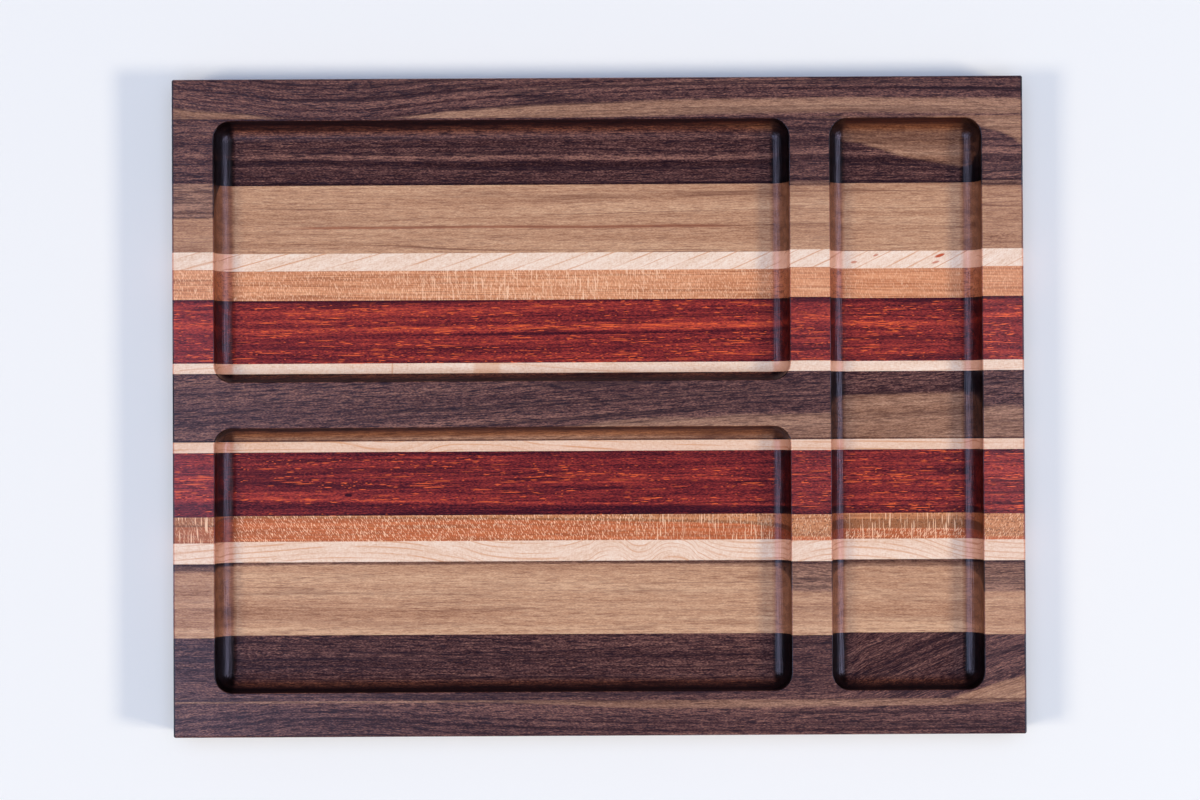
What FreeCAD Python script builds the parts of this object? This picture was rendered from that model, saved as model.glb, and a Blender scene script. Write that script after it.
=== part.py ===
import FreeCAD, Part
import os

# Valet tray, in millimetres.
# Long strips of hardwood are glued face to face into one flat board. Three pockets are then routed into its top
# with a round-nose bit, through whichever strips lie there, so each pocket is shared out among many strips.
# X runs along the strips, +Y points to the back edge and +Z is up.
# The origin is under the middle of the tray, on the plane that it rests on.

# Board
BOARD_LENGTH = 304.8
BOARD_THICKNESS = 19.05
EDGE_EASE = 0.8

# Strip widths, from the back edge to the front edge
BACK_OUTER_WALNUT_WIDTH = 14.3
BACK_WALNUT_WIDTH = 23.1
BACK_LIGHT_WALNUT_WIDTH = 24.6
BACK_MAPLE_WIDTH = 6.3
BACK_CHERRY_WIDTH = 10.7
BACK_PADAUK_WIDTH = 22.8
BACK_THIN_MAPLE_WIDTH = 3.7
CENTRE_WALNUT_WIDTH = 24.5
FRONT_THIN_MAPLE_WIDTH = 3.8
FRONT_PADAUK_WIDTH = 23.0
FRONT_CHERRY_WIDTH = 9.3
FRONT_MAPLE_WIDTH = 7.4
FRONT_LIGHT_WALNUT_WIDTH = 26.4
FRONT_WALNUT_WIDTH = 22.7
FRONT_OUTER_WALNUT_WIDTH = 12.9

# Wood left standing round and between the pockets, measured on the top face
END_MARGIN = 15.0
BACK_MARGIN = 15.1
FRONT_MARGIN = 15.95
BRIDGE_WIDTH = 14.7
RIB_WIDTH = 16.7

# Pockets: a long one across the whole tray at the right, and two large ones, one behind the other, in the room
# that is left
LONG_POCKET_WIDTH = 54.1
BACK_POCKET_WIDTH = 93.4
POCKET_DEPTH = 9.525
RIM_EASE = 0.4

# The round-nose bit leaves half its diameter as the radius of every pocket corner and along every floor edge
BIT_DIAMETER = 12.7

# Strips in the order that they are glued, from the back edge to the front edge
STRIPS = [
    ("back_outer_walnut_strip", BACK_OUTER_WALNUT_WIDTH),
    ("back_walnut_strip", BACK_WALNUT_WIDTH),
    ("back_light_walnut_strip", BACK_LIGHT_WALNUT_WIDTH),
    ("back_maple_strip", BACK_MAPLE_WIDTH),
    ("back_cherry_strip", BACK_CHERRY_WIDTH),
    ("back_padauk_strip", BACK_PADAUK_WIDTH),
    ("back_thin_maple_strip", BACK_THIN_MAPLE_WIDTH),
    ("centre_walnut_strip", CENTRE_WALNUT_WIDTH),
    ("front_thin_maple_strip", FRONT_THIN_MAPLE_WIDTH),
    ("front_padauk_strip", FRONT_PADAUK_WIDTH),
    ("front_cherry_strip", FRONT_CHERRY_WIDTH),
    ("front_maple_strip", FRONT_MAPLE_WIDTH),
    ("front_light_walnut_strip", FRONT_LIGHT_WALNUT_WIDTH),
    ("front_walnut_strip", FRONT_WALNUT_WIDTH),
    ("front_outer_walnut_strip", FRONT_OUTER_WALNUT_WIDTH),
]

board_width = sum(width for name, width in STRIPS)
left = -BOARD_LENGTH / 2
right = BOARD_LENGTH / 2
front = -board_width / 2
back = board_width / 2
floor = BOARD_THICKNESS - POCKET_DEPTH


def glued_board():
    """The board before routing, with every outer edge sanded round."""
    corner = FreeCAD.Vector(left, front, 0)
    board = Part.makeBox(BOARD_LENGTH, board_width, BOARD_THICKNESS, corner)
    return board.makeFillet(EDGE_EASE, board.Edges)


def routed_space(x_from, x_to, y_from, y_to):
    """The space that the bit sweeps in one pocket, running out above the board's top face."""
    run_out = BIT_DIAMETER
    corner = FreeCAD.Vector(x_from, y_from, floor)
    block = Part.makeBox(x_to - x_from, y_to - y_from, POCKET_DEPTH + run_out, corner)
    rounded_by_bit = [edge for edge in block.Edges if edge.BoundBox.ZMin < BOARD_THICKNESS]
    return block.makeFillet(BIT_DIAMETER / 2, rounded_by_bit)


def pockets():
    """The two large pockets and the long one, from the margins inwards."""
    long_to = right - END_MARGIN
    long_from = long_to - LONG_POCKET_WIDTH
    large_to = long_from - BRIDGE_WIDTH
    large_from = left + END_MARGIN
    back_rim = back - BACK_MARGIN
    front_rim = front + FRONT_MARGIN
    rib_back = back_rim - BACK_POCKET_WIDTH
    rib_front = rib_back - RIB_WIDTH
    return [
        routed_space(large_from, large_to, rib_back, back_rim),
        routed_space(large_from, large_to, front_rim, rib_front),
        routed_space(long_from, long_to, front_rim, back_rim),
    ]


def ease_rims(tray):
    """Sands the pocket rims, which are the inner outlines of the top face."""
    top_face = max(tray.Faces, key=lambda face: face.CenterOfMass.z)
    rims = [wire for wire in top_face.Wires if not wire.isSame(top_face.OuterWire)]
    return tray.makeFillet(RIM_EASE, [edge for rim in rims for edge in rim.Edges])


def cut_strip(tray, y_from, width):
    """The part of the routed board that lies in one strip, between its two glue lines."""
    beyond = BOARD_THICKNESS
    corner = FreeCAD.Vector(left - beyond, y_from, -beyond)
    slab = Part.makeBox(BOARD_LENGTH + 2 * beyond, width, BOARD_THICKNESS + 2 * beyond, corner)
    return tray.common(slab).Solids[0]


tray = ease_rims(glued_board().cut(pockets()))
os.makedirs("parts", exist_ok=True)
glue_line = back
for name, width in STRIPS:
    glue_line -= width
    strip = cut_strip(tray, glue_line, width)
    strip.exportStep("parts/" + name + ".step")
    print(name, "valid", strip.isValid(), "volume", round(strip.Volume, 1), "faces", len(strip.Faces))
print("tray valid", tray.isValid(), "volume", round(tray.Volume, 1), "width", round(board_width, 3))
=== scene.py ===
import math
import bpy
from mathutils import Matrix, Vector


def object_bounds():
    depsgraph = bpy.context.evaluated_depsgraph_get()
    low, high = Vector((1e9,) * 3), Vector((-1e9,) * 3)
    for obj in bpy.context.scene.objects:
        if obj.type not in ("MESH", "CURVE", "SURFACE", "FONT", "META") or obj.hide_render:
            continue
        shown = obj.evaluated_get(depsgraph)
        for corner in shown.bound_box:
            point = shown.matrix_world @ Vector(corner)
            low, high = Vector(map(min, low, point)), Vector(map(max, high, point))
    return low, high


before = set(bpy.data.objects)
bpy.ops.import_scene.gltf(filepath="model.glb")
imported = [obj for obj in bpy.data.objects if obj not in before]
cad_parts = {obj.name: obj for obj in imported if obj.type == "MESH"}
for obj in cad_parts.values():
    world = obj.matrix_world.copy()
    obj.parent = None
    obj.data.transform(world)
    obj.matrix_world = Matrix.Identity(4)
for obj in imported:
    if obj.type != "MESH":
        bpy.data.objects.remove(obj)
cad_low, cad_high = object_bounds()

# Valet tray: a board of glued hardwood strips with three routed pockets, seen from above on a pale table.
# Every solid keeps its own shape. Each strip gets a solid wood that is worked out in millimetres from the
# place in the board, so its growth layers run through the top, the pocket floors, the coves and the ends.
# X runs along the strips, +Y points to the back edge and +Z is up.

# Board, in millimetres; the end margins of its top face lie beyond the pockets
MM = 0.001
BOARD_TOP = cad_high.z / MM
BOARD_HALF_WIDTH = cad_high.y / MM
RIGHT_END = cad_high.x / MM
LEFT_END = -RIGHT_END
BOARD_LENGTH = RIGHT_END - LEFT_END
END_MARGIN_FROM = 138.0
END_MARGIN_FADE = 2.0

# Woods, as red, green and blue from 0 to 255; each list runs from the darkest grain to the palest
WALNUT_HEART = [
    (0.0, (34, 16, 20)),
    (0.3, (66, 40, 42)),
    (0.6, (102, 70, 69)),
    (1.0, (150, 108, 97)),
]
WALNUT_PALE = [
    (0.0, (116, 76, 58)),
    (0.35, (167, 123, 98)),
    (0.65, (191, 148, 121)),
    (1.0, (216, 177, 148)),
]
WALNUT_LINE = (32, 18, 28)
PALE_LINE = (110, 70, 58)
RUST = (150, 92, 70)
MAPLE = [
    (0.0, (216, 177, 150)),
    (0.5, (240, 215, 200)),
    (1.0, (252, 239, 230)),
]
MAPLE_LINE = (212, 150, 108)
MAPLE_RUST = (190, 92, 62)
BACK_CHERRY = [
    (0.0, (166, 96, 63)),
    (0.5, (222, 155, 117)),
    (1.0, (248, 199, 162)),
]
FRONT_CHERRY = [
    (0.0, (142, 68, 38)),
    (0.5, (200, 109, 68)),
    (1.0, (226, 146, 102)),
]
CHERRY_LINE = (148, 88, 58)
CHERRY_RAY = (250, 208, 178)
CHERRY_TAN = (204, 146, 104)
CHERRY_BROWN = (134, 82, 52)
CHERRY_DOT = (106, 66, 44)
PADAUK = [
    (0.0, (52, 14, 28)),
    (0.35, (112, 37, 42)),
    (0.65, (160, 58, 52)),
    (1.0, (204, 82, 58)),
]
PADAUK_PORE = (242, 108, 58)
PADAUK_DARK = (44, 14, 30)

# The tone that each of these woods keeps to, as a place on its list
MAPLE_TONE = 0.52
CHERRY_TONE = 0.45
PADAUK_TONE = 0.46

# What the wood's colour is multiplied by: on end grain, partly the darkening of oiled end grain and partly
# painted shade of the pocket end walls; on the pockets' side walls, a painted warm shade for light bounced
# inside the pockets; and on the steepest of them, a painted darker shade
END_GRAIN_AND_SHADE = (255, 218, 204)
WALL_PAINTED_WARM_SHADE = (255, 222, 190)
WALL_PAINTED_SHADE = (138, 106, 86)

# Oil finish: shiny on the sanded top, duller on the pocket floors, rougher on their side walls
GLOSS_TINT = (0.55, 0.55, 1.0, 1.0)
TOP_SPECULAR = 0.7
FLOOR_SPECULAR_LOSS = 0.45
TOP_ROUGHNESS = 0.3
WALL_ROUGHNESS_GAIN = 0.3
GRAIN_ROUGHNESS_LOSS = 0.04
BUMP_STRENGTH = 0.35
BUMP_HEIGHT = 0.06
TOOL_MARK_GAP = 0.35
TOOL_MARK_LENGTH = 16
TOOL_MARK_HEIGHT = 1.6

# Textures are turned off their own axes, and moved on by one step from each strip to the next
TEXTURE_TURN = (0.61, 0.47, 0.93)
SEED_STEP = 17.3
NOISE_SPREAD = 3.0
PORE_SPACING = 1.6
RING_LENGTH = 240

# Light: a dim room, a bright round ceiling panel straight above, and soft boxes; lengths in metres
ROOM_LEVEL = 0.14
ROOM_COLOUR = (0.89, 1.02, 1.3, 1.0)
PANEL_HEIGHT = 5.0
PANEL_WIDTH = 4.84
PANEL_LEVEL = 2.06
BOX_DISTANCE = 2.5
LAMP_COLOUR = (1.18, 1.0, 0.7)
SHEEN_COLOUR = (1.05, 1.0, 0.85)
SKY_COLOUR = (0.75, 1.0, 0.92)

# Soft boxes: azimuth from +X towards +Y and elevation in degrees, width and height, power in watts, colour.
# The first two cast the shadows and are kept out of the reflections. The others only show in reflections:
# they lay the highlights along the end walls and the sheen on the end margins.
SHADOW_BOXES = {
    "right_light": (-13.6, 39.0, (0.5, 0.376), 23.8, LAMP_COLOUR),
    "left_light": (193.6, 47.0, (0.6, 0.55), 18.7, LAMP_COLOUR),
}
SHEEN_BOXES = {
    "right_sheen": (-8.0, 36.0, (1.8, 0.7), 23.0, SHEEN_COLOUR),
    "left_sheen": (185.0, 50.0, (1.8, 0.65), 17.0, SHEEN_COLOUR),
    "corner_sheen": (203.0, 68.0, (0.9, 0.6), 5.8, SKY_COLOUR),
    "margin_sheen": (-3.0, 72.0, (0.5, 0.3), 2.5, LAMP_COLOUR),
}

# Table, in metres
TABLE_HALF = 8.0
TABLE_COLOUR = (240, 244, 251)
TABLE_ROUGHNESS = 0.9
TABLE_SPECULAR = 0.1

# Camera: lens, sensor and place over the top face in millimetres, then its turns in degrees
LENS = 69.0
SENSOR_WIDTH = 36.0
CAMERA_X = 0.1
CAMERA_Y = -6.8
CAMERA_HEIGHT = 822.3
CAMERA_TURNS = {"X": 0.628, "Y": -0.030, "Z": -0.300}


def linear(rgb):
    """A colour from 0 to 255 per channel as the renderer's linear colour."""
    parts = []
    for value in rgb:
        share = value / 255
        parts.append(share / 12.92 if share <= 0.04045 else ((share + 0.055) / 1.055) ** 2.4)
    return (*parts, 1.0)


class Field:
    """A number that varies over a surface: a node's output, with arithmetic."""

    def __init__(self, wood, socket):
        self.wood = wood
        self.socket = socket

    def __add__(self, other):
        return self.wood.math("ADD", self, other)

    def __radd__(self, other):
        return self.wood.math("ADD", other, self)

    def __sub__(self, other):
        return self.wood.math("SUBTRACT", self, other)

    def __rsub__(self, other):
        return self.wood.math("SUBTRACT", other, self)

    def __mul__(self, other):
        return self.wood.math("MULTIPLY", self, other)

    def __truediv__(self, other):
        return self.wood.math("DIVIDE", self, other)

    def __abs__(self):
        return self.wood.math("ABSOLUTE", self)


class Wood:
    """The node tree of one strip's material, with the place in the board in millimetres.

    flat is 1 on level faces and 0 on upright ones. end is 1 where a face cuts the grain across, and steep_end
    only where it does so steeply. fine is the share of the finest figure that still shows there.
    """

    def __init__(self, name, seed):
        self.material = bpy.data.materials.new(name)
        self.material.use_nodes = True
        self.tree = self.material.node_tree
        self.tree.nodes.clear()
        self.seed = seed
        place = self.split(self.add("ShaderNodeTexCoord").outputs["Object"])
        self.x, self.y, self.z = [axis / MM for axis in place]
        self.depth = BOARD_TOP - self.z
        facing = self.split(self.add("ShaderNodeNewGeometry").outputs["Normal"])
        self.flat = abs(facing[2])
        self.end = self.step(abs(facing[0]), 0.02, 0.3)
        self.steep_end = self.step(abs(facing[0]), 0.3, 0.9)
        self.fine = 1.0 - self.end * 0.65

    def add(self, kind, **settings):
        """A new node with the given settings."""
        node = self.tree.nodes.new(kind)
        for key, value in settings.items():
            setattr(node, key, value)
        return node

    def feed(self, socket, value):
        """Links a field or an output into a socket, or sets a plain value on it."""
        if isinstance(value, Field):
            value = value.socket
        if isinstance(value, bpy.types.NodeSocket):
            self.tree.links.new(value, socket)
        else:
            socket.default_value = value

    def split(self, vector):
        """The three parts of a vector or a colour."""
        node = self.add("ShaderNodeSeparateXYZ")
        self.feed(node.inputs[0], vector)
        return [Field(self, socket) for socket in node.outputs]

    def math(self, operation, *values):
        """The result of one arithmetic step."""
        node = self.add("ShaderNodeMath", operation=operation)
        for socket, value in zip(node.inputs, values):
            self.feed(socket, value)
        return Field(self, node.outputs[0])

    def seeded(self, x, y, z):
        """A place in a texture, moved so that no two strips share a pattern, and turned off its own axes."""
        node = self.add("ShaderNodeCombineXYZ")
        for socket, value in zip(node.inputs, (x, y, z)):
            self.feed(socket, value)
        turned = self.add("ShaderNodeMapping")
        turned.inputs["Location"].default_value = (self.seed, 2 * self.seed, 0)
        turned.inputs["Rotation"].default_value = TEXTURE_TURN
        self.feed(turned.inputs["Vector"], node.outputs[0])
        return turned.outputs[0]

    def cells(self, x, y, z):
        """Scattered points, about one per unit: the distance to the nearest, and its random number."""
        node = self.add("ShaderNodeTexVoronoi")
        self.feed(node.inputs["Vector"], self.seeded(x, y, z))
        self.feed(node.inputs["Scale"], 1.0)
        return Field(self, node.outputs["Distance"]), self.split(node.outputs["Color"])[0]

    def noise(self, x, y, z, detail=1.0):
        """Cloudy noise about 0, mostly from -1 to 1, with one cell per unit along each axis."""
        node = self.add("ShaderNodeTexNoise")
        self.feed(node.inputs["Vector"], self.seeded(x, y, z))
        self.feed(node.inputs["Scale"], 1.0)
        self.feed(node.inputs["Detail"], detail)
        return (Field(self, node.outputs[0]) - 0.5) * NOISE_SPREAD

    def step(self, value, low, high):
        """0 below low, 1 above high, smooth between."""
        node = self.add("ShaderNodeMapRange", interpolation_type="SMOOTHSTEP")
        self.feed(node.inputs["Value"], value)
        self.feed(node.inputs["From Min"], low)
        self.feed(node.inputs["From Max"], high)
        return Field(self, node.outputs[0])

    def band(self, value, low, high, soft):
        """1 between low and high, fading over soft to either side of each."""
        return self.step(value, low - soft, low + soft) * (1.0 - self.step(value, high - soft, high + soft))

    def along(self, points):
        """A smooth curve along the board through (x, value) points, in millimetres."""
        values = [value for x, value in points]
        low = min(values)
        span = max(values) - low
        node = self.add("ShaderNodeFloatCurve")
        self.feed(node.inputs["Value"], 0.5 + self.x / BOARD_LENGTH)
        shape_curve(node.mapping, [(0.5 + x / BOARD_LENGTH, (value - low) / span) for x, value in points])
        return Field(self, node.outputs[0]) * span + low

    def ramp(self, value, stops):
        """The colour at a place on a list of colours."""
        node = self.add("ShaderNodeValToRGB")
        elements = node.color_ramp.elements
        while len(elements) < len(stops):
            elements.new(0.5)
        for element, (position, rgb) in zip(elements, stops):
            element.position = position
            element.color = linear(rgb)
        self.feed(node.inputs[0], value)
        return node.outputs[0]

    def grey(self, colour):
        """How bright a colour is."""
        node = self.add("ShaderNodeRGBToBW")
        self.feed(node.inputs[0], colour)
        return Field(self, node.outputs[0])

    def paint(self, factor, under, rgb):
        """The colour under with a plain colour over it, where the factor is 1."""
        return self.blend(factor, under, linear(rgb))

    def blend(self, factor, first, second, kind="MIX"):
        """Two colours mixed, or multiplied, by a factor."""
        node = self.add("ShaderNodeMix", data_type="RGBA", blend_type=kind)
        self.feed(node.inputs[0], factor)
        self.feed(node.inputs[6], first)
        self.feed(node.inputs[7], second)
        return node.outputs[2]


def shape_curve(mapping, places):
    """Puts a curve's points at the given places."""
    points = mapping.curves[0].points
    points[0].location = places[0]
    points[-1].location = places[-1]
    for place in places[1:-1]:
        points.new(*place)
    for point in points:
        point.handle_type = "AUTO"
    mapping.update()


def left_margin(wood):
    """1 on the end margin at the left, 0 from the pockets on."""
    return 1.0 - wood.step(wood.x, -END_MARGIN_FROM - END_MARGIN_FADE, -END_MARGIN_FROM + END_MARGIN_FADE)


def right_margin(wood):
    """1 on the end margin at the right, 0 up to the pockets."""
    return wood.step(wood.x, END_MARGIN_FROM - END_MARGIN_FADE, END_MARGIN_FROM + END_MARGIN_FADE)


def long_pocket_side(wood):
    """0 over the large pockets, 1 from the long pocket on."""
    return wood.step(wood.x, 62, 82)


def layers(wood, bend=None, lean=0.0, wave=0.4):
    """Growth layers, in millimetres across the strip: they follow the bend along it and lean with depth."""
    waver = wood.noise(wood.x / 60, wood.y / 12, wood.z / 12)
    layer = wood.y + waver * wave - wood.depth * lean
    if bend:
        layer = layer - wood.along(bend)
    return layer


def streaks(wood, layer, length, width, detail=1.0):
    """Streaks of about the given length along the grain and width across it; fine ones fade on end grain."""
    pattern = wood.noise(wood.x / length, layer / width, wood.z / width, detail)
    return pattern * wood.fine if width < 1 else pattern


def pores(wood, layer, length, width, share):
    """Separate dashes along the grain; the share is how many places hold one."""
    reach = length * PORE_SPACING
    spread = width * PORE_SPACING
    near, pick = wood.cells(wood.x / reach, layer / spread, wood.z / spread)
    return (1.0 - wood.step(near, 0.2, 0.45)) * wood.step(pick, 0.95 - share, 1.05 - share) * wood.fine


def rings(wood, layer, gap, width):
    """Thin lines along the growth layers, unevenly spaced by about the gap."""
    return 1.0 - wood.step(abs(streaks(wood, layer, RING_LENGTH, gap)), 0.0, width / gap)


def mark(wood, value, place, width):
    """1 where the value is at the place, fading to 0 just beyond half the width on either side."""
    return 1.0 - wood.step(abs(value - place), width * 0.1, width * 0.6)


def spot(wood, x, y, length, width, slope):
    """1 inside a small lens that lies at a place on the board, 0 outside it."""
    along = (wood.x - x) / (length / 2)
    across = (wood.y - y - (wood.x - x) * slope) / (width / 2)
    return 1.0 - wood.step(along * along + across * across, 0.4, 1.2)


def side_wall(wood, steep, level):
    """1 on pocket walls that run along the grain, fading out as they level; 0 on the board's outer faces."""
    inside = 1.0 - wood.step(abs(wood.y), BOARD_HALF_WIDTH - 1.5, BOARD_HALF_WIDTH - 0.5)
    return (1.0 - wood.step(wood.flat, steep, level)) * (1.0 - wood.end) * inside


def oiled(wood, colour, end_oil_and_shade, wall):
    """End grain soaks up more oil; its darkening here is partly that and partly painted shade of the pocket
    end walls. The side walls get painted shade: a warm tint for light bounced in the pockets, darker where
    they stand steep.
    """
    # End grain darkened: partly oiled end grain, partly painted shade of the pocket end walls
    end_oil_and_shade_factor = wood.math("POWER", wood.grey(colour), wood.end * end_oil_and_shade + wood.steep_end * end_oil_and_shade * 0.2)
    colour = wood.blend(1.0, colour, end_oil_and_shade_factor, "MULTIPLY")
    colour = wood.blend(wood.end, colour, linear(END_GRAIN_AND_SHADE), "MULTIPLY")
    # Painted shade: a warm tint on the side walls for light bounced inside the pockets
    colour = wood.blend(side_wall(wood, 0.75, 0.98), colour, linear(WALL_PAINTED_WARM_SHADE), "MULTIPLY")
    # Painted shade: the steep side walls made darker
    return wood.blend(wall, colour, linear(WALL_PAINTED_SHADE), "MULTIPLY")


def satin(wood, colour, height, end_oil_and_shade):
    """A wiped oil finish over the given colour and grain height, with painted shade on the pocket walls; the
    last argument is how far end grain darkens, partly as oiled end grain and partly as painted shade.
    """
    wall = side_wall(wood, 0.35, 0.92)
    floor = wood.step(wood.depth, 6.0, 9.0) * wood.step(wood.flat, 0.96, 0.995)
    gap = TOOL_MARK_GAP
    tool_mark = wood.noise(wood.x / gap, wood.y / TOOL_MARK_LENGTH, wood.z / gap) * wood.end
    roughness = TOP_ROUGHNESS + wall * WALL_ROUGHNESS_GAIN - height * GRAIN_ROUGHNESS_LOSS
    bump = wood.add("ShaderNodeBump")
    bump.inputs["Strength"].default_value = BUMP_STRENGTH
    bump.inputs["Distance"].default_value = BUMP_HEIGHT * MM
    wood.feed(bump.inputs["Height"], height + tool_mark * TOOL_MARK_HEIGHT)
    shader = wood.add("ShaderNodeBsdfPrincipled")
    shader.inputs["Specular Tint"].default_value = GLOSS_TINT
    wood.feed(shader.inputs["Base Color"], oiled(wood, colour, end_oil_and_shade, wall))
    wood.feed(shader.inputs["Roughness"], roughness)
    wood.feed(shader.inputs["Specular IOR Level"], TOP_SPECULAR - floor * FLOOR_SPECULAR_LOSS)
    wood.feed(shader.inputs["Normal"], bump.outputs[0])
    out = wood.add("ShaderNodeOutputMaterial")
    wood.feed(out.inputs["Surface"], shader.outputs[0])
    return wood.material


def walnut(wood, layer, pale, tone, streak=None, open_pores=0.55, thin_lines=0.75):
    """Walnut: dark heartwood, pale wood where the given field is 1, and a rusty streak if one is given."""
    broad = streaks(wood, layer, 150, 3.4, detail=3)
    fibre = streaks(wood, layer, 6, 0.4)
    fleck = streaks(wood, layer, 0.9, 0.28)
    tone = tone + broad * 0.28 + fibre * 0.3 + fleck * 0.5
    calm = tone - fleck * 0.2 - fibre * 0.06
    colour = wood.blend(pale, wood.ramp(tone, WALNUT_HEART), wood.ramp(calm, WALNUT_PALE))
    if streak:
        colour = wood.paint(streak, colour, RUST)
    line = rings(wood, layer, 3.2, 0.45)
    colour = wood.paint(line * (1.0 - pale) * 0.65, colour, WALNUT_LINE)
    colour = wood.paint(line * pale * 0.2, colour, PALE_LINE)
    thin_line = rings(wood, layer + 40, 5.2, 0.34) * wood.step(streaks(wood, layer, 60, 4), -0.4, 0.5)
    colour = wood.paint(thin_line * (1.0 - wood.end) * thin_lines * pale, colour, PALE_LINE)
    fine_pore = pores(wood, layer, 2.2, 0.3, share=0.7)
    wide_pore = pores(wood, layer, 4.2, 0.42, share=open_pores)
    pore = wood.math("MAXIMUM", fine_pore * 0.8, wide_pore)
    colour = wood.paint(pore * (1.0 - pale) * 0.9, colour, WALNUT_LINE)
    colour = wood.paint(pore * pale * 0.38, colour, PALE_LINE)
    return satin(wood, colour, fleck * 0.4 - pore, end_oil_and_shade=0.95 - pale * 0.25)


def maple(wood, layer, gap, lines, stain=None, rust=None):
    """Cream maple with thin orange growth lines; the stain tans it, and a rust field leaves rusty marks."""
    cloud = streaks(wood, layer, 22, 3)
    fibre = streaks(wood, layer, 1.4, 0.3)
    ripple = wood.noise(wood.x / 0.5, wood.y / 1.1, wood.z / 1.1) * wood.fine
    colour = wood.ramp(MAPLE_TONE + cloud * 0.22 + fibre * 0.36 + ripple * 0.2, MAPLE)
    spaced = layer + wood.noise(wood.x / 200, layer / 6, wood.z / 6) * 1.6
    line = 1.0 - wood.step(wood.math("PINGPONG", spaced, gap / 2), 0.05, 0.36)
    fading = wood.step(wood.noise(wood.x / 14, layer / 2, wood.z / 4), -0.7, 0.4)
    if stain:
        colour = wood.paint(stain, colour, MAPLE_LINE)
    colour = wood.paint(line * fading * lines, colour, MAPLE_LINE)
    if rust:
        colour = wood.paint(rust, colour, MAPLE_RUST)
    return satin(wood, colour, fibre * 0.4, end_oil_and_shade=0.45)


def cherry(wood, layer, shades, short, tall, slant, tan=None, brown=None):
    """Cherry: fine brown growth lines, crossed by pale ray flecks, some of them short and some tall."""
    broad = streaks(wood, layer, 160, 2.2, detail=3)
    hair = streaks(wood, layer, 14, 0.4)
    colour = wood.ramp(CHERRY_TONE + broad * 0.2 + hair * 0.3, shades)
    if tan:
        colour = wood.paint(tan * 0.7, colour, CHERRY_TAN)
        colour = wood.paint(brown * 0.75, colour, CHERRY_BROWN)
        dot = pores(wood, layer, 0.7, 0.4, share=0.8)
        colour = wood.paint(dot * tan * 0.8, colour, CHERRY_DOT)
    colour = wood.paint(rings(wood, layer, 1.5, 0.26) * 0.6, colour, CHERRY_LINE)
    fleck = wood.noise((wood.x + slant) / 0.27, wood.y / 1.05, wood.z / 1.05, detail=0.0) * wood.fine
    colour = wood.paint(wood.step(fleck, 0.2, 0.6) * short, colour, CHERRY_RAY)
    colour = wood.paint((1.0 - wood.step(fleck, -0.6, -0.1)) * short * 0.5, colour, CHERRY_LINE)
    ray = wood.noise(wood.x / 0.36, wood.y / 6, wood.z / 6, detail=0.0) * wood.fine
    colour = wood.paint(wood.step(ray, 0.4, 0.7) * tall, colour, CHERRY_RAY)
    return satin(wood, colour, hair * 0.4 + fleck * 0.3, end_oil_and_shade=0.55)


def padauk(wood, layer, tone, glow=0.0):
    """Deep red padauk: purple lines, dark pores, and pores that glow orange, most where the tone is high."""
    broad = streaks(wood, layer, 110, 2.4, detail=3)
    fibre = streaks(wood, layer, 14, 0.5)
    fleck = streaks(wood, layer, 1.0, 0.28)
    colour = wood.ramp(PADAUK_TONE + tone + broad * 0.3 + fibre * 0.24 + fleck * 0.42, PADAUK)
    colour = wood.paint(rings(wood, layer, 3.6, 0.45) * 0.6, colour, PADAUK_DARK)
    hole = pores(wood, layer, 2.4, 0.3, share=0.55)
    colour = wood.paint(hole * 0.7, colour, PADAUK_DARK)
    share = 0.15 + streaks(wood, layer, 40, 2.0) * 0.2 + tone * 0.5
    dot = pores(wood, layer, 0.8, 0.32, share * 0.6)
    colour = wood.paint(dot * 0.7, colour, PADAUK_PORE)
    short = pores(wood, layer, 2.4, 0.25, share)
    colour = wood.paint(short, colour, PADAUK_PORE)
    long = pores(wood, layer, 7.0, 0.23, share * 0.7 + glow)
    colour = wood.paint(long * 0.95, colour, PADAUK_PORE)
    return satin(wood, colour, fleck * 0.4 - hole, end_oil_and_shade=0.45)


def back_outer_walnut(wood):
    """A shallow valley in the grain at the left, and a tan layer that climbs to the right of it."""
    bend = [
        (LEFT_END, 4.8), (-126, 2.3), (-95, 0.0), (-75, 0.9),
        (-50, 3.5), (0, 6.0), (50, 7.4), (RIGHT_END, 6.9),
    ]
    layer = layers(wood, bend)
    dark = mark(wood, layer, 110.1, 1.1) + mark(wood, layer, 106.2, 1.1) + mark(wood, layer, 103.3, 1.3) * 0.4
    tan = wood.band(layer, 97.2, 102.5, soft=0.8) * 0.55
    mottled = wood.band(wood.x, -100, -62, soft=12) * 0.4
    tone = 0.62 - dark * 0.3 - wood.step(wood.x, 60, 140) * 0.11
    return walnut(wood, layer, tan, tone, open_pores=0.5 + mottled)


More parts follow.
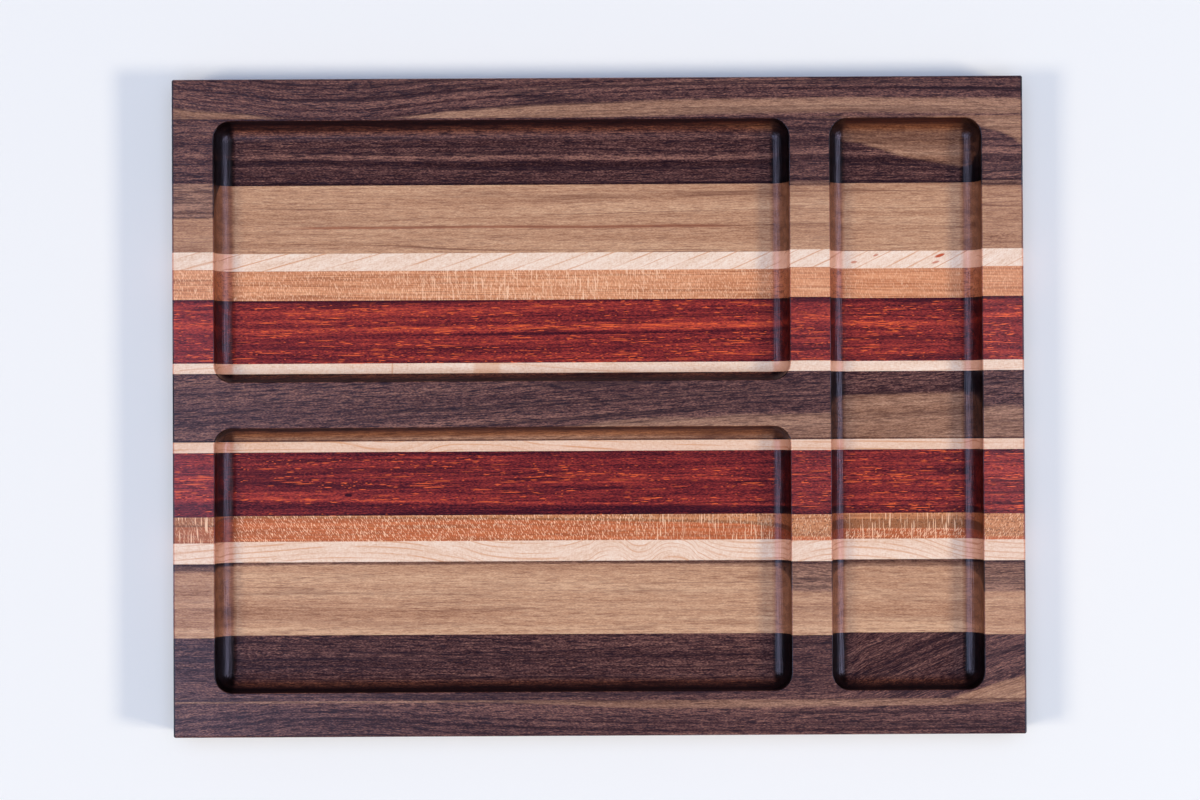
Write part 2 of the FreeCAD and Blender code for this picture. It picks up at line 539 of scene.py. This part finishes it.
def back_walnut(wood):
    """Dark and light bands, with pale wood behind a layer that comes forward at the right and with depth."""
    layer = layers(wood, wave=0.9)
    dark = wood.band(layer, 94.2, 96.4, soft=0.6) + wood.band(layer, 87.2, 89.2, soft=0.5)
    seam = mark(wood, layer, 80.7, 1.6)
    rear = wood.band(wood.y, 97.0, 101.5, soft=1.5) * wood.step(wood.depth, 1.0, 3.0)
    light = wood.band(layer, 89.7, 91.3, soft=0.5) + rear * (0.8 - long_pocket_side(wood) * 2.4)
    edge = wood.along([
        (LEFT_END, 107.0), (50, 105.0), (80, 103.8), (122, 103.0), (137, 99.8), (RIGHT_END, 92.4),
    ])
    lean = wood.along([(LEFT_END, 0.4), (40, 0.5), (88, 0.8), (130, 1.65), (RIGHT_END, 1.7)])
    over = wood.y - edge + wood.depth * lean + streaks(wood, layer, 30, 2) * 0.9
    pale = wood.step(over, -0.9, 0.9) * (0.3 + wood.step(wood.x, 60, 110) * 0.32)
    bridge = wood.band(wood.x, 69, 83, soft=1.0)
    tone = 0.44 + light * 0.18 - dark * 0.16 - seam * 0.32
    # Painted sheen: the end margins of the top face made lighter
    tone = tone + left_margin(wood) * 0.12 + right_margin(wood) * 0.16 + bridge * 0.09
    return walnut(wood, layer, pale, tone)


def back_light_walnut(wood):
    """Pale, with a wedge of browner wood that is deep at the left end and stays near the top face."""
    layer = layers(wood)
    edge = wood.along([
        (LEFT_END, 67.7), (-137, 68.0), (-100, 73.5), (0, 77.5), (76, 78.6), (RIGHT_END, 78.4),
    ])
    over = wood.y - edge - wood.depth * 1.8
    brown = wood.step(over, -0.4, 0.4)
    lines = mark(wood, over, 0.4, 0.9) + mark(wood, over, 1.9, 0.8) + mark(wood, over, 9.5, 1.4)
    streak = mark(wood, layer, 65.2, 1.3) * wood.band(wood.x, -108, 47, soft=9) * 0.8
    # Painted shade: the pale wood on the end margins made darker; painted sheen: the brown wedge on the left
    # margin made lighter
    tone = 0.64 - lines * 0.25 - left_margin(wood) * (1.0 - brown * 1.6) * 0.18 - right_margin(wood) * 0.17
    return walnut(wood, layer, 1.0 - brown * 0.72, tone, streak)


def back_maple(wood):
    """Lines that rise steeply to the right, and four short rusty marks at the right."""
    layer = layers(wood, [(LEFT_END, -48.0), (0, 0.0), (RIGHT_END, 70.0)])
    rust = spot(wood, 123.8, 54.0, length=4.0, width=1.2, slope=0.3)
    rust = rust + spot(wood, 122.3, 51.6, length=3.0, width=0.9, slope=0.25) * 0.7
    rust = rust + spot(wood, 100.6, 54.2, length=2.0, width=0.8, slope=0.3) * 0.7
    rust = rust + spot(wood, 92.7, 51.8, length=2.6, width=0.8, slope=0.1) * 0.7
    return maple(wood, layer, gap=4.4, lines=0.8, rust=rust)


def back_cherry(wood):
    """Ray flecks that are short at the left, tall over the middle, and faint at the right."""
    layer = layers(wood, [(LEFT_END, 1.5), (RIGHT_END, -1.5)])
    short = 0.65 - wood.step(wood.x, 20, 90) * 0.25
    tall = wood.band(wood.x, -75, 25, soft=25) * 0.85
    slant = (wood.y - 44.1) * 0.15
    return cherry(wood, layer, BACK_CHERRY, short, tall, slant)


def back_padauk(wood):
    """A purple back edge, and a glowing streak over a dark line along the middle."""
    layer = layers(wood, [(LEFT_END, -0.4), (RIGHT_END, 2.0)], lean=-0.2)
    bright = wood.band(layer, 29.0, 31.0, soft=0.7)
    dark = wood.step(wood.y, 37.0, 38.4) + mark(wood, layer, 27.9, 1.2) * wood.band(wood.x, -85, 60, soft=20)
    return padauk(wood, layer, bright * 0.24 - dark * 0.3, glow=bright * 0.1)


def back_thin_maple(wood):
    """Nearly plain, with two tan places left of the middle."""
    layer = layers(wood, [(LEFT_END, 2.0), (-60, 5.0), (20, 1.0), (RIGHT_END, 3.0)])
    stain = 0.1 + wood.band(wood.x, -45.0, -35.5, soft=1.0) * 0.4 + mark(wood, wood.x, -74.5, 0.8) * 0.55
    return maple(wood, layer, gap=5.2, lines=0.5, stain=stain)


def centre_walnut(wood):
    """Grain that climbs to the right, over browner wood that comes up from below at the right."""
    layer = layers(wood, [(LEFT_END, -9.0), (RIGHT_END, 9.0)], wave=0.7)
    edge = wood.along([
        (LEFT_END, -14.0), (-20, -8.5), (0, -5.9), (25, -4.4), (76, -2.8), (110, -1.7), (RIGHT_END, -0.6),
    ])
    over = wood.y - edge - wood.depth * 0.62 + streaks(wood, layer, 20, 1.5) * 0.9
    pale = (1.0 - wood.step(over, -1.2, 1.0)) * (0.46 + wood.step(wood.depth, 5.0, 9.0) * 0.1)
    seam = mark(wood, wood.y, -12.0, 1.0)
    tone = 0.58 - seam * 0.5 - wood.step(wood.x, 40, 70) * (1.0 - pale * 2.0) * 0.08
    return walnut(wood, layer, pale, tone, open_pores=0.95)


def front_thin_maple(wood):
    """Gentle lines, with a few peaks left of the middle."""
    bend = [(LEFT_END, 0.0), (-100, 1.0), (-75, -2.5), (-50, 2.5), (-20, -1.0), (40, -4.0), (RIGHT_END, -6.0)]
    return maple(wood, layers(wood, bend), gap=2.6, lines=0.75, stain=0.32)


def front_padauk(wood):
    """Purple along the front and the back edge, and one small dark knot."""
    layer = layers(wood, [(LEFT_END, -1.0), (RIGHT_END, 1.0)])
    edge = wood.along([(LEFT_END, -33.0), (-80, -34.6), (-30, -35.4), (50, -36.3), (RIGHT_END, -37.2)])
    over = wood.y - edge + streaks(wood, layer, 40, 1.5) * 0.3
    dark = (1.0 - wood.step(over, -0.4, 0.3)) + wood.step(wood.y, -19.0, -17.0) * 0.6
    bright = wood.band(layer, -28.0, -23.0, soft=1.5) * 0.06 + mark(wood, over, 0.8, 1.0) * 0.2
    deep = wood.step(wood.depth, 1.0, 4.0) * (1.0 - long_pocket_side(wood))
    dull = wood.band(wood.x, -30, 132, soft=10)
    knot = spot(wood, -90.6, -31.7, length=3.0, width=1.1, slope=0.03)
    return padauk(wood, layer, bright - dark * 0.2 - deep * 0.1 - dull * 0.05 - knot * 0.8)


def front_cherry(wood):
    """Yellower wood behind a brown layer that thickens to the right, and flecks that turn along the strip."""
    edge = wood.along([
        (LEFT_END, -42.4), (-100, -42.7), (0, -44.0), (50, -45.2), (76, -47.0), (RIGHT_END, -47.2),
    ])
    over = wood.y - edge - wood.depth * 0.28
    thick = wood.along([(LEFT_END, 0.6), (0, 0.8), (60, 1.2), (90, 3.4), (RIGHT_END, 2.8)])
    tan = wood.step(over, -0.3, 0.3)
    top = 1.0 - wood.step(wood.depth, 1.0, 4.0)
    left_top = top * left_margin(wood)
    right_top = top * wood.step(wood.x, 40, 66)
    long_floor = wood.step(wood.x, 83, 92) * (1.0 - top)
    brown = tan * (1.0 - wood.step(over - thick, -0.3, 0.3)) * (1.0 - right_top * 0.7) + left_top * 0.6
    tall = wood.band(wood.x, 8, 137, soft=14) * (1.0 - right_top) * 0.85 + left_top * 0.85
    short = 0.85 - wood.band(wood.x, 20, 66, soft=10) * 0.4
    short = short - right_top * 0.2 - left_top * 0.5 - tan * long_floor * 0.7
    lean = wood.along([
        (LEFT_END, 0.0), (-132, 0.4), (-40, 0.35), (10, 0.1), (60, 0.0), (85, -0.3), (RIGHT_END, -0.5),
    ])
    slant = (wood.y + 43.7) * lean
    return cherry(wood, layers(wood), FRONT_CHERRY, short, tall, slant, tan, brown)


def front_maple(wood):
    """Growth lines in a long bow left of the middle, then two peaks, then a slope down to the right."""
    bend = [
        (LEFT_END, 1.0), (-120, 3.0), (-88, 4.5), (-52, 0.5), (-28, -3.5), (-4, 0.0), (5.5, 3.5),
        (14.5, -0.5), (25.5, 4.5), (36, -1.0), (60, -6.0), (86, -2.0), (137, -12.0), (RIGHT_END, -13.0),
    ]
    return maple(wood, layers(wood, bend), gap=1.9, lines=0.65, stain=0.12)


def front_light_walnut(wood):
    """Pale, with browner wood along the back edge that widens to the right on the top face."""
    layer = layers(wood, [(LEFT_END, 1.2), (RIGHT_END, -1.2)])
    edge = wood.along([(LEFT_END, -58.2), (-137, -58.3), (0, -63.0), (76, -66.5), (RIGHT_END, -66.8)])
    lean = wood.along([(LEFT_END, 0.1), (-100, 0.3), (60, 0.86), (RIGHT_END, 0.88)])
    over = wood.y - edge - wood.depth * lean
    brown = wood.step(over, -0.7, 0.5) * (0.72 - wood.depth * 0.04)
    light = 1.0 - wood.step(wood.y, -80.0, -78.0)
    grey = wood.band(layer, -77.0, -73.0, soft=1.0) * (1.0 - wood.step(wood.x, -70, -10))
    # Painted shade: the end margins of the top face made darker, the browner wood at the right left out
    grey = grey + left_margin(wood) * 0.9 + right_margin(wood) * (1.0 - brown * 1.4) * 0.4
    seam = mark(wood, wood.y + streaks(wood, layer, 30, 2) * 0.3, -56.2, 1.7)
    near_seam = wood.band(wood.y, -60.5, -56.0, soft=1.5)
    tone = 0.68 + light * 0.16 - grey * 0.2 - near_seam * 0.08 - seam * 0.3
    return walnut(wood, layer, (1.0 - brown) * (1.0 - seam * 0.6), tone, thin_lines=0.35)


def front_walnut(wood):
    """Dark streaks that climb at the right end, where a pale patch fills the front corner."""
    bend = [(LEFT_END, 0.0), (70, 0.0), (84, 0.8), (97, 6.3), (137, 23.0), (RIGHT_END, 28.0)]
    layer = layers(wood, bend, wave=0.8)
    edge = wood.along([(LEFT_END, -107.0), (118, -106.0), (129, -103.5), (140, -100.3), (RIGHT_END, -96.9)])
    over = edge - wood.y + streaks(wood, layer, 14, 1.2) * 0.8
    pale = wood.step(over, -0.7, 0.7) * 0.7
    front_margin = 1.0 - wood.step(wood.y, -103.5, -102.0)
    light = wood.band(layer, -109.0, -104.0, soft=2.0)
    dark = wood.band(layer, -102.0, -99.0, soft=1.5)
    figure = (light * 0.12 - dark * 0.1) * wood.band(wood.x, 86, 135, soft=6)
    # Painted sheen: the right end margin made lighter
    tone = 0.43 + right_margin(wood) * 0.14 + front_margin * 0.12 + figure
    return walnut(wood, layer, pale, tone)


def front_outer_walnut(wood):
    """A low hill in the grain at the left, and a tan streak near the back edge that widens to the right."""
    bend = [
        (LEFT_END, -4.0), (-125, -1.5), (-98, 0.0), (-60, -1.8), (-20, -3.6), (30, -4.6), (RIGHT_END, -4.0),
    ]
    layer = layers(wood, bend)
    middle = wood.along([
        (LEFT_END, -105.0), (-60, -105.0), (-10, -105.6), (20, -106.5), (80, -106.3), (RIGHT_END, -105.3),
    ])
    reach = wood.along([(LEFT_END, 0.5), (-30, 0.7), (30, 1.5), (100, 1.3), (RIGHT_END, 0.7)])
    away = abs(wood.y - middle + streaks(wood, layer, 30, 1.5) * 0.4)
    tan = (1.0 - wood.step(away, reach * 0.5, reach * 1.4)) * 0.42
    dark = mark(wood, layer, -108.6, 1.0) + mark(wood, layer, -111.2, 1.2)
    light = wood.band(wood.x, 35, 120, soft=25)
    mottled = wood.band(wood.x, -108, -50, soft=14) * 0.4
    # Painted sheen: the left end margin made lighter
    tone = 0.49 - dark * 0.25 + light * 0.13 + left_margin(wood) * 0.09
    return walnut(wood, layer, tan, tone, open_pores=0.5 + mottled)


# From the back edge to the front edge; each strip's node is named after its wood
STRIP_WOODS = [
    back_outer_walnut, back_walnut, back_light_walnut, back_maple, back_cherry, back_padauk,
    back_thin_maple, centre_walnut, front_thin_maple, front_padauk, front_cherry, front_maple,
    front_light_walnut, front_walnut, front_outer_walnut,
]


def finish_strips():
    """Gives each strip its own wood."""
    for number, make in enumerate(STRIP_WOODS):
        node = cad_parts[make.__name__ + "_strip"]
        material = make(Wood(make.__name__, SEED_STEP * (number + 1)))
        node.data.materials.clear()
        node.data.materials.append(material)


def table():
    """The pale table top that the tray lies on."""
    mesh = bpy.data.meshes.new("table")
    low, high = -TABLE_HALF, TABLE_HALF
    mesh.from_pydata([(low, low, 0), (high, low, 0), (high, high, 0), (low, high, 0)], [], [(0, 1, 2, 3)])
    top = bpy.data.objects.new("table", mesh)
    bpy.context.scene.collection.objects.link(top)
    material = bpy.data.materials.new("table")
    material.use_nodes = True
    shader = material.node_tree.nodes["Principled BSDF"]
    shader.inputs["Base Color"].default_value = linear(TABLE_COLOUR)
    shader.inputs["Roughness"].default_value = TABLE_ROUGHNESS
    shader.inputs["Specular IOR Level"].default_value = TABLE_SPECULAR
    mesh.materials.append(material)


def room():
    """A dim room all round, kept out of the reflections."""
    world = bpy.data.worlds.new("studio")
    bpy.context.scene.world = world
    world.use_nodes = True
    background = world.node_tree.nodes["Background"]
    background.inputs["Color"].default_value = ROOM_COLOUR
    background.inputs["Strength"].default_value = ROOM_LEVEL
    world.cycles_visibility.glossy = False


def ceiling_panel():
    """The room's main light: a round panel above the tray, kept out of the reflections as by a filter."""
    light = bpy.data.lights.new("ceiling_panel", "AREA")
    light.shape = "DISK"
    light.size = PANEL_WIDTH
    light.energy = PANEL_LEVEL * (math.pi * PANEL_WIDTH / 2) ** 2
    light.color = ROOM_COLOUR[:3]
    light.cycles.use_multiple_importance_sampling = False
    lamp = bpy.data.objects.new("ceiling_panel", light)
    lamp.location = (0, 0, PANEL_HEIGHT)
    lamp.visible_glossy = False
    lamp.visible_camera = False
    bpy.context.scene.collection.objects.link(lamp)


def soft_box(name, azimuth, elevation, size, power, colour):
    """A soft light that faces the tray, out of the camera's sight."""
    light = bpy.data.lights.new(name, "AREA")
    light.shape = "RECTANGLE"
    light.size, light.size_y = size
    light.energy = power
    light.color = colour
    lamp = bpy.data.objects.new(name, light)
    turn = math.radians(azimuth)
    rise = math.radians(elevation)
    away = Vector((math.cos(turn) * math.cos(rise), math.sin(turn) * math.cos(rise), math.sin(rise)))
    lamp.location = away * BOX_DISTANCE
    lamp.rotation_euler = away.to_track_quat("Z", "Y").to_euler()
    lamp.visible_camera = False
    bpy.context.scene.collection.objects.link(lamp)
    return lamp


def studio_light():
    """The room, the panel above, the boxes that cast shadows and the boxes that only show in reflections."""
    room()
    ceiling_panel()
    for name, setting in SHADOW_BOXES.items():
        soft_box(name, *setting).visible_glossy = False
    for name, setting in SHEEN_BOXES.items():
        soft_box(name, *setting).visible_diffuse = False


def camera():
    """Nearly straight down over the middle of the tray, as the photograph was taken."""
    lens = bpy.data.cameras.new("camera")
    lens.sensor_width = SENSOR_WIDTH
    lens.lens = LENS
    eye = bpy.data.objects.new("camera", lens)
    place = Matrix.Translation(Vector((CAMERA_X, CAMERA_Y, BOARD_TOP + CAMERA_HEIGHT)) * MM)
    for axis, degrees in CAMERA_TURNS.items():
        place = place @ Matrix.Rotation(math.radians(degrees), 4, axis)
    eye.matrix_world = place
    bpy.context.scene.collection.objects.link(eye)
    bpy.context.scene.camera = eye


finish_strips()
table()
studio_light()
camera()
bpy.context.scene.view_settings.view_transform = "Standard"
